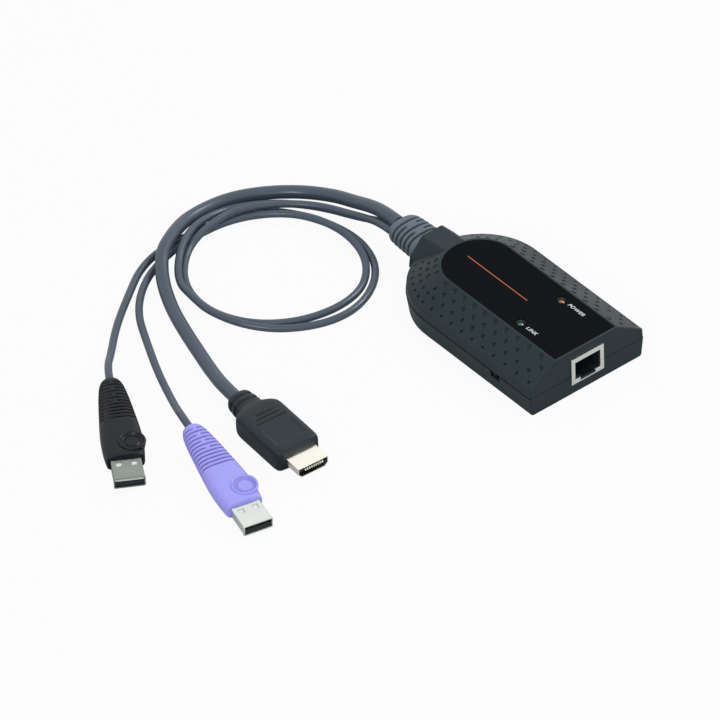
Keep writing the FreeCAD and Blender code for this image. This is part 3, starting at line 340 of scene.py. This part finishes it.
black_route = [
    (-57.5, 0.8, 7.4), (-64.0, 0.8, 7.4), (-77.5, -2.0, 2.5), (-97.5, -10.5, 1.6),
    (-112.0, -24.0, 1.6), (-120.0, -42.5, 2.5), (-112.5, -65.5, 7.5), (-96.5, -82.5, 3.5),
    (-81.5, -85.0, 4.5), (-71.0, -85.5, 4.5), (-57.0, -79.5, 3.0), (-45.5, -68.0, 1.6),
    (-37.0, -51.0, 1.6), (-38.0, -34.0, 1.6), (-49.0, -18.0, 1.6), (-66.0, -11.0, 1.6),
    (-84.5, -13.0, 1.6), (-100.5, -20.5, 1.6), (-114.0, -33.5, 1.6), (-115.5, -52.0, 1.6),
    (-117.0, -71.5, 1.6), (-113.0, -87.0, 1.6), (-102.5, -101.5, 1.6), (-91.0, -116.5, 1.6),
    (-78.5, -129.0, 1.8), (-70.3, -137.0, 5.2), (-62.6, -141.6, 5.1)]


def in_metres(route):
    return [Vector(point) * MM for point in route]


def add_piece(piece, slot, *replaced, finish=None):
    """Links a piece to the scene, finishes it and lets it ride on the housing."""
    bpy.context.scene.collection.objects.link(piece)
    piece.data.materials.clear()
    piece.data.materials.append(finishes[finish or slot])
    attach(piece, HOUSING)
    if replaced:
        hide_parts(*replaced)
    return piece


def cord_curve(name, route, radius, replaced):
    """Round jacket along a smooth line through its route."""
    curve = bpy.data.curves.new(name, "CURVE")
    curve.dimensions = "3D"
    curve.resolution_u = 16
    curve.bevel_depth = radius * MM
    curve.bevel_resolution = 7
    curve.use_fill_caps = True
    spline = curve.splines.new("NURBS")
    spline.points.add(len(route) - 1)
    for point, place in zip(spline.points, in_metres(route)):
        point.co = (*place, 1.0)
    spline.order_u = 3
    spline.use_endpoint_u = True
    return add_piece(bpy.data.objects.new(name, curve), "cord_jacket", replaced)


thick_radius = 2.75
thin_radius = 1.55
cords = {
    "video": cord_curve("video_cord_jacket", video_route, thick_radius, "video_cord"),
    "violet": cord_curve("violet_cord_jacket", violet_route, thin_radius, "violet_cord"),
    "black": cord_curve("black_cord_jacket", black_route, thin_radius, "black_cord"),
}

# ------------------------------------------------------------------ overmoulded skins


def frame_along(origin, heading):
    """Local frame in metres: X along the heading, Y level, Z up."""
    ahead = Vector(heading).normalized()
    side = Vector((0, 0, 1)).cross(ahead).normalized()
    up = ahead.cross(side)
    turn = Matrix((ahead, side, up)).transposed().to_4x4()
    return Matrix.Translation(Vector(origin) * MM) @ turn @ Matrix.Scale(MM, 4)


def cord_end(route):
    """Frame of a plug: from the end of its cord, on in the same direction."""
    return frame_along(route[-1], Vector(route[-1]) - Vector(route[-2]))


def along(table, x):
    """Values at x from rows of (x, values...), on smooth curves through the rows."""
    last = len(table) - 2
    index = min(max(sum(row[0] <= x for row in table) - 1, 0), last)
    start, end = table[index], table[index + 1]
    before, after = table[max(index - 1, 0)], table[min(index + 2, last + 1)]
    span = end[0] - start[0]
    t = min(max((x - start[0]) / span, 0.0), 1.0)
    values = []
    for b, s, e, a in zip(before[1:], start[1:], end[1:], after[1:]):
        slope_in = (e - b) / (end[0] - before[0]) * span
        slope_out = (a - s) / (after[0] - start[0]) * span
        values.append((2 * t ** 3 - 3 * t ** 2 + 1) * s + (t ** 3 - 2 * t ** 2 + t) * slope_in
                      + (3 * t ** 2 - 2 * t ** 3) * e + (t ** 3 - t ** 2) * slope_out)
    return values


def steps(*runs):
    """Stations along a piece: runs of (from, to, count), ends shared."""
    places = [runs[0][0]]
    for low, high, count in runs:
        places += [low + (high - low) * (step + 1) / count for step in range(count)]
    return places


def groove(distance, width):
    """Rounded channel: one at its middle, nothing outside it."""
    return math.exp(-((distance / (0.42 * width)) ** 4))


def step_down(value, edge, softness=0.12):
    """One well inside the edge, nothing outside it."""
    return min(max((edge - value) / softness * 0.5 + 0.5, 0.0), 1.0)


def inward(y, z, depth):
    """Moves a point of a section towards its middle."""
    crown = math.hypot(y, z)
    return y * (1 - depth / crown), z * (1 - depth / crown)


def ring_depth(x, y, z, spots, width, depth, webbed=(), web=(1.0, 1.0)):
    """Depth of the ring grooves at a point; webbed ones stop at a web along the top.

    web is the half width of that web and how softly the groove runs out at it.
    """
    cuts = []
    for index, spot in enumerate(spots):
        cut = groove(x - spot, width)
        if index in webbed and z > 0:
            cut *= 1 - step_down(abs(y), *web)
        cuts.append(depth * cut)
    return max(cuts)


def upright(x, y):
    """Sections that stand square to the axis."""
    return 0.0


def placed_object(name, work):
    """Finished mesh as an object."""
    mesh = bpy.data.meshes.new(name)
    work.to_mesh(mesh)
    work.free()
    return bpy.data.objects.new(name, mesh)


def closed_skin(name, work, rings):
    """Joins rings of equal count into a smooth skin with flat ends."""
    around = len(rings[0])
    for ring, following in zip(rings, rings[1:]):
        for step in range(around):
            ahead = (step + 1) % around
            work.faces.new((ring[step], ring[ahead], following[ahead], following[step]))
    work.faces.new(rings[0])
    work.faces.new(rings[-1])
    bmesh.ops.recalc_face_normals(work, faces=work.faces)
    for face in work.faces:
        face.smooth = len(face.verts) == 4
    return placed_object(name, work)


END_SHARES = (0.93, 0.8, 0.55, 0.25)   # the rings that close the front of an overmould
PLAIN_DEPTH = 0.38                     # carving up to here keeps the outer tone, with no painted shade
SHADED_DEPTH = 0.8                     # and from here on has the full painted groove shade


def overmould(name, place, stations, section, carve, lean=upright, around=132):
    """Smooth closed skin of rubber: a ring per station, carved and leaned, with closed ends."""
    work = bmesh.new()
    painted_shade = work.verts.layers.float.new("painted_shade")
    rings = []
    shares = [(x, 1.0) for x in stations] + [(stations[-1], share) for share in END_SHARES]
    for x, share in shares:
        half_width, half_height, squareness = section(x)
        ring = []
        for step in range(around):
            angle = math.tau * step / around
            across, rise = math.cos(angle), math.sin(angle)
            reach = (abs(across / half_width) ** squareness
                     + abs(rise / half_height) ** squareness) ** (-1 / squareness)
            y, z = carve(x, reach * across, reach * rise)
            depth = math.hypot(reach * across - y, reach * rise - z)
            y, z = y * share, z * share
            vertex = work.verts.new(place @ Vector((x + lean(x, y), y, z)))
            # painted shade: deeper carving gets more of the dark groove tone
            shade = (depth - PLAIN_DEPTH) / (SHADED_DEPTH - PLAIN_DEPTH)
            vertex[painted_shade] = min(max(shade, 0.0), 1.0) if share == 1.0 else 0.0
            ring.append(vertex)
        rings.append(ring)
    return closed_skin(name, work, rings)


def turned(name, place, centre, profile, deep, around=96):
    """Piece turned about an upright local axis from rows of (radius, height).

    deep are the rows in its dish, which take a little painted groove shade.
    """
    work = bmesh.new()
    painted_shade = work.verts.layers.float.new("painted_shade")
    rings = []
    for row, (radius, height) in enumerate(profile):
        ring = []
        for step in range(around):
            angle = math.tau * step / around
            x = centre[0] + radius * math.cos(angle)
            y = centre[1] + radius * math.sin(angle)
            vertex = work.verts.new(place @ Vector((x, y, height)))
            # painted shade in the button's dish
            vertex[painted_shade] = 0.3 if row in deep else 0.0
            ring.append(vertex)
        rings.append(ring)
    return closed_skin(name, work, rings)


def bars(name, place, spans, edge):
    """Small bevelled bars, each given by its low and high local corners."""
    work = bmesh.new()
    for low, high in spans:
        low, high = Vector(low), Vector(high)
        size = Matrix.Diagonal((*(high - low), 1.0))
        seat = Matrix.Translation((low + high) / 2) @ size
        bmesh.ops.create_cube(work, size=1.0, matrix=seat)
    bmesh.ops.bevel(work, geom=work.edges[:], offset=edge, segments=2, affect="EDGES")
    work.transform(place)
    return placed_object(name, work)


# ------------------------------------------------------------------ data plugs

grip_outline = [  # from the cord's end: half width, half height, squareness
    (0.0, 2.1, 2.1, 2.0), (0.25, 2.75, 2.5, 2.05), (0.8, 3.5, 2.9, 2.1), (1.8, 4.1, 3.2, 2.2),
    (4.0, 4.9, 3.45, 2.35), (10.0, 5.9, 3.6, 2.5), (16.0, 6.6, 3.7, 2.7), (22.0, 7.2, 3.8, 2.9),
    (28.0, 7.8, 3.9, 3.1), (34.0, 8.2, 3.97, 3.3), (40.0, 8.2, 3.97, 3.5), (44.0, 7.95, 3.95, 3.6),
    (47.1, 7.55, 3.92, 3.6), (47.6, 7.4, 3.82, 3.6), (47.8, 7.2, 3.62, 3.6)]
grip_rings = [3.5 + 1.98 * index for index in range(12)]
webbed_rings = (0, 2, 4, 6)
button_spot = (40.5, 3.55)
button_rows = [  # radius and height, from the foot of the wall over the rim into the dish
    (4.3, -1.6), (4.85, 0.5), (5.2, 2.4), (5.42, 3.6), (5.4, 4.05), (5.28, 4.3), (5.08, 4.43),
    (4.86, 4.42), (4.62, 4.28), (4.35, 3.95), (4.1, 3.6), (3.85, 3.4), (3.5, 3.36), (3.1, 3.42),
    (2.85, 3.6), (2.6, 3.78), (2.3, 3.84), (1.6, 3.8), (0.8, 3.77), (0.2, 3.76)]
dish_rows = range(9, 15)
core_block = ((47.5, -5.4, -0.9), (54.6, 5.4, 1.78))
lip_strip = ((58.9, -5.7, 0.7), (59.85, 5.7, 2.2))


def carve_grip(x, y, z):
    """Twelve ring grooves; every other one near the cord stops at a web along the top."""
    depth = ring_depth(x, y, z, grip_rings, width=0.95, depth=0.95, webbed=webbed_rings,
                       web=(1.0, 0.5))
    y, z = inward(y, z, depth)
    if z > 2.0:  # room for the dished button
        from_button = math.hypot(x - button_spot[0], y - button_spot[1])
        z -= 1.3 * step_down(from_button, 4.7, 0.8)
    return y, z


def lean_grip(x, y):
    """The front edge runs a little further forward at the sides than in the middle."""
    share = min(max((x - 37.8) / 10.0, 0.0), 1.0) ** 2
    return share * 0.4 * min(abs(y) / 7.5, 1.1) ** 2


def dress_data_plug(prefix, route, slot, finish=None):
    """Ribbed grip, its dished button and the pale core seen through the shell's windows."""
    place = cord_end(route)
    stations = steps((0.0, 2.4, 16), (2.4, 26.6, 170), (26.6, 34.6, 10), (34.6, 46.4, 48),
                     (46.4, 47.8, 10))
    grip = overmould(prefix + "_grip_skin", place, stations,
                     lambda x: along(grip_outline, x), carve_grip, lean_grip)
    button = turned(prefix + "_grip_button", place, button_spot, button_rows, dish_rows)
    core = bars(prefix + "_shell_core", place, [core_block], 0.15)
    return [add_piece(grip, slot, prefix + "_plug_grip", finish=finish),
            add_piece(button, slot, finish=finish),
            add_piece(core, "header_nylon")]


# ------------------------------------------------------------------ video plug

case_outline = [  # from the cord's end: half width, half height, squareness
    (0.0, 4.0, 3.5, 2.6), (0.4, 4.8, 3.9, 2.6), (1.5, 5.3, 4.2, 2.7), (6.6, 5.9, 4.5, 2.8),
    (8.2, 5.9, 4.5, 2.8), (9.4, 6.1, 4.6, 2.9), (10.4, 7.3, 4.8, 3.2), (11.4, 8.7, 5.0, 3.9),
    (12.8, 9.6, 5.18, 5.0), (14.6, 9.95, 5.27, 6.4), (17.0, 10.0, 5.3, 7.0),
    (27.0, 10.0, 5.3, 7.0), (38.0, 10.0, 5.3, 7.0), (39.8, 9.85, 5.22, 6.6),
    (40.5, 9.7, 5.1, 6.2), (40.8, 9.55, 4.95, 6.0), (41.0, 9.3, 4.7, 5.8)]
boot_rings = (3.2, 6.4)
case_grooves = ((18.0, 4.3), (20.3, 5.6), (22.8, 7.0))  # place, half length
case_panel = (26.8, 37.0, 6.8)                          # rear, front, half width
contact_tip_count = 9
contact_tip_pitch = 1.0


def carve_case(x, y, z):
    """Boot rings, three grooves across the top and a shallow panel before the front."""
    y, z = inward(y, z, ring_depth(x, y, z, boot_rings, width=1.5, depth=0.8))
    if z > 3.5:
        for spot, half_length in case_grooves:
            z -= 0.6 * groove(x - spot, 1.15) * step_down(abs(y), half_length, 0.5)
        rear, front, half_width = case_panel
        lengthwise = step_down(rear, x, 0.3) * step_down(x, front, 0.3)
        z -= 0.35 * (lengthwise * step_down(abs(y), half_width, 0.3))
    return y, z


def dress_video_plug():
    """Overmoulded boot and case, and the contact tips in the mouth of the shell."""
    place = cord_end(video_route)
    stations = steps((0.0, 2.0, 12), (2.0, 8.4, 52), (8.4, 16.8, 30), (16.8, 24.4, 76),
                     (24.4, 26.4, 6), (26.4, 27.2, 8), (27.2, 36.6, 12), (36.6, 37.4, 8),
                     (37.4, 40.0, 8), (40.0, 41.0, 8))
    case = overmould("video_case_skin", place, stations, lambda x: along(case_outline, x),
                     carve_case, around=160)
    tips = []
    for index in range(contact_tip_count):
        middle = (index - (contact_tip_count - 1) / 2) * contact_tip_pitch
        tips.append(((50.2, middle - 0.3, 0.75), (51.65, middle + 0.3, 1.55)))
    contacts = bars("video_contact_tips", place, tips, 0.05)
    return [add_piece(case, "black_moulding", "video_plug_case"),
            add_piece(contacts, "pale_gold")]


# ------------------------------------------------------------------ strain relief

relief_length = 20.3
relief_middle = 10.6   # height of its axis
relief_outline = [  # from the rear wall of the housing towards the cords
    (0.0, 8.5, 5.5, 2.7), (5.0, 8.35, 5.4, 2.6), (10.0, 8.2, 5.3, 2.5), (15.0, 7.95, 5.15, 2.45),
    (17.0, 7.65, 4.95, 2.4), (18.5, 7.05, 4.5, 2.4), (19.5, 6.3, 3.9, 2.4), (20.1, 5.5, 3.25, 2.4),
    (relief_length, 4.9, 2.8, 2.4)]
relief_rings = [5.4 + 2.5 * index for index in range(5)]


def carve_relief(x, y, z):
    """Five bellows grooves; the second and fourth stop at a web along the top."""
    return inward(y, z, ring_depth(x, y, z, relief_rings, width=1.35, depth=1.15, webbed=(1, 3),
                                   web=(2.6, 0.8)))


def dress_strain_relief():
    """Ribbed rubber sleeve from the rear wall of the housing to the cords."""
    rear_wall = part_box("strain_relief")[0][0] / MM + relief_length
    place = frame_along((rear_wall, 0.0, relief_middle), (-1, 0, 0))
    stations = steps((0.0, 4.4, 8), (4.4, 17.6, 132), (17.6, relief_length, 20))
    skin = overmould("strain_relief_skin", place, stations, lambda x: along(relief_outline, x),
                     carve_relief)
    return add_piece(skin, "relief_rubber", "strain_relief")


dress_strain_relief()
plug_dress = {
    "video": dress_video_plug(),
    "violet": dress_data_plug("violet", violet_route, "violet_moulding"),
    "black": dress_data_plug("black", black_route, "black_moulding", "black_grip"),
}
flared_lip = bars("black_shell_lip", cord_end(black_route), [lip_strip], 0.2)
plug_dress["black"].append(add_piece(flared_lip, "plug_nickel"))

# ------------------------------------------------------------------ label print

label_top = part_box("label_plate")[1][2] / MM
ink_rise = 0.015   # above the label
rule_rise = 0.02   # above and below its face


def printed_word(word, left, right, baseline, height):
    """Slanted capitals, printed on the label between two places."""
    line = bpy.data.curves.new("legend_" + word.lower(), "FONT")
    line.body = word
    line.shear = 0.25
    line.offset = 0.022
    line.space_character = 1.12
    line.size = 1.0
    holder = bpy.data.objects.new(line.name, line)
    bpy.context.scene.collection.objects.link(holder)
    bpy.context.view_layer.update()
    mesh = bpy.data.meshes.new_from_object(holder)
    bpy.data.objects.remove(holder)
    across = [vertex.co.x for vertex in mesh.vertices]
    tall = [vertex.co.y for vertex in mesh.vertices]
    foot, side = min(tall), min(across)
    wide = (right - left) / (max(across) - side)
    high = height / (max(tall) - foot)
    for vertex in mesh.vertices:
        x = left + (vertex.co.x - side) * wide
        y = baseline + (vertex.co.y - foot) * high
        vertex.co = Vector((x, y, label_top + ink_rise)) * MM
    return add_piece(bpy.data.objects.new("legend_" + word.lower(), mesh), "label_film",
                     finish="legend_ink")


def printed_rule(left, right, y, width):
    """Thin line along the label."""
    low = (left, y - width / 2, label_top - rule_rise)
    high = (right, y + width / 2, label_top + rule_rise)
    rule = bars("label_rule", Matrix.Scale(MM, 4), [(low, high)], 0.005)
    return add_piece(rule, "label_film", finish="rule_ink")


capital_height = 1.6
words_left = 34.1
printed_word("POWER", words_left, 43.3, 9.5, capital_height)
printed_word("LINK", words_left, 40.2, -11.7, capital_height)
printed_rule(-14.6, 21.7, -0.44, 0.4)

# ------------------------------------------------------------------ stage, lights, camera


floor_gap = 0.02  # mm below the lowest piece


def white_stage():
    """Pale floor that stays white to the camera and keeps a faint shadow."""
    finish = Finish("floor_white")
    speck = finish.noise(0.02, 2.0)
    tone = finish.mix(speck, (0.6, 0.61, 0.61), (0.64, 0.65, 0.65))
    matte = finish.node("BsdfDiffuse", {}, {"Color": tone})
    white = finish.node("Emission", {}, {"Color": (1.0, 1.0, 1.0, 1.0), "Strength": 1.0})
    seen = finish.node("LightPath", output="Is Camera Ray")
    shadow_share = 0.06
    shader = finish.node("MixShader", {}, {0: seen * (1 - shadow_share), 1: matte, 2: white})
    finish.node("OutputMaterial", {}, {"Surface": shader})
    mesh = bpy.data.meshes.new("floor")
    reach = 6.0  # metres
    corners = [(-reach, -reach, 0), (reach, -reach, 0), (reach, reach, 0), (-reach, reach, 0)]
    mesh.from_pydata(corners, [], [(0, 1, 2, 3)])
    mesh.materials.append(finish.owner)
    floor = bpy.data.objects.new("floor", mesh)
    floor.location.z = cad_box[0][2] - floor_gap * MM
    bpy.context.scene.collection.objects.link(floor)


def studio_world():
    """Even white surround: full white where it is seen or mirrored, softer as light."""
    world = bpy.data.worlds.new("studio")
    shader = Finish("studio", world)
    seen = shader.node("LightPath", output="Is Camera Ray")
    for kind in ("Is Transmission Ray", "Is Glossy Ray"):
        seen = seen.maths("MAXIMUM", shader.node("LightPath", output=kind))
    strength = shader.node("MapRange", {}, {"Value": seen, "To Min": 0.6, "To Max": 1.0})
    sockets = {"Color": (1.0, 1.0, 1.0, 1.0), "Strength": strength}
    background = shader.node("Background", {}, sockets)
    shader.node("OutputWorld", {}, {"Surface": background})
    bpy.context.scene.world = world


def area_lamp(name, place, aim, size, power):
    """Round lamp of that size in metres and power in watts, turned towards its aim."""
    lamp = bpy.data.lights.new(name, "AREA")
    lamp.shape = "DISK"
    lamp.size = size
    lamp.energy = power
    holder = bpy.data.objects.new(name, lamp)
    holder.location = place
    heading = Vector(aim) - Vector(place)
    holder.rotation_euler = heading.to_track_quat("-Z", "Y").to_euler()
    bpy.context.scene.collection.objects.link(holder)


def front_right_camera():
    """Long lens from the front right, turned so that the dongle stands upright in the frame."""
    data = bpy.data.cameras.new("camera")
    data.sensor_width = 36.0
    data.lens = 500.0
    data.clip_end = 20.0
    camera = bpy.data.objects.new("camera", data)
    right = Vector((0.63161, 0.77472, -0.02957))
    up = Vector((-0.48446, 0.42417, 0.76510))
    back = Vector((0.60528, -0.46892, 0.64324))
    turn = Matrix((right, up, back)).transposed()
    camera.matrix_world = Matrix.Translation(Vector((2.34595, -1.88442, 2.50751))) @ turn.to_4x4()
    bpy.context.scene.collection.objects.link(camera)
    bpy.context.scene.camera = camera


white_stage()
studio_world()
middle_of_piece = (-0.03, -0.06, 0.0)
area_lamp("key_lamp", (0.2, 1.2, 1.3), middle_of_piece, 0.5, 12.0)
area_lamp("front_lamp", (0.9, -1.3, 1.1), middle_of_piece, 0.7, 9.0)
front_right_camera()
bpy.context.scene.view_settings.view_transform = "Standard"

# ------------------------------------------------------------------ each plug's pieces, gathered


def plug_pieces(prefix):
    """The pieces of one plug: its metal parts and its overmould."""
    metal_parts = [piece for name, piece in nodes.items() if name.startswith(prefix + "_plug")]
    return metal_parts + plug_dress[prefix]


plug_pieces("video")
plug_pieces("violet")
plug_pieces("black")
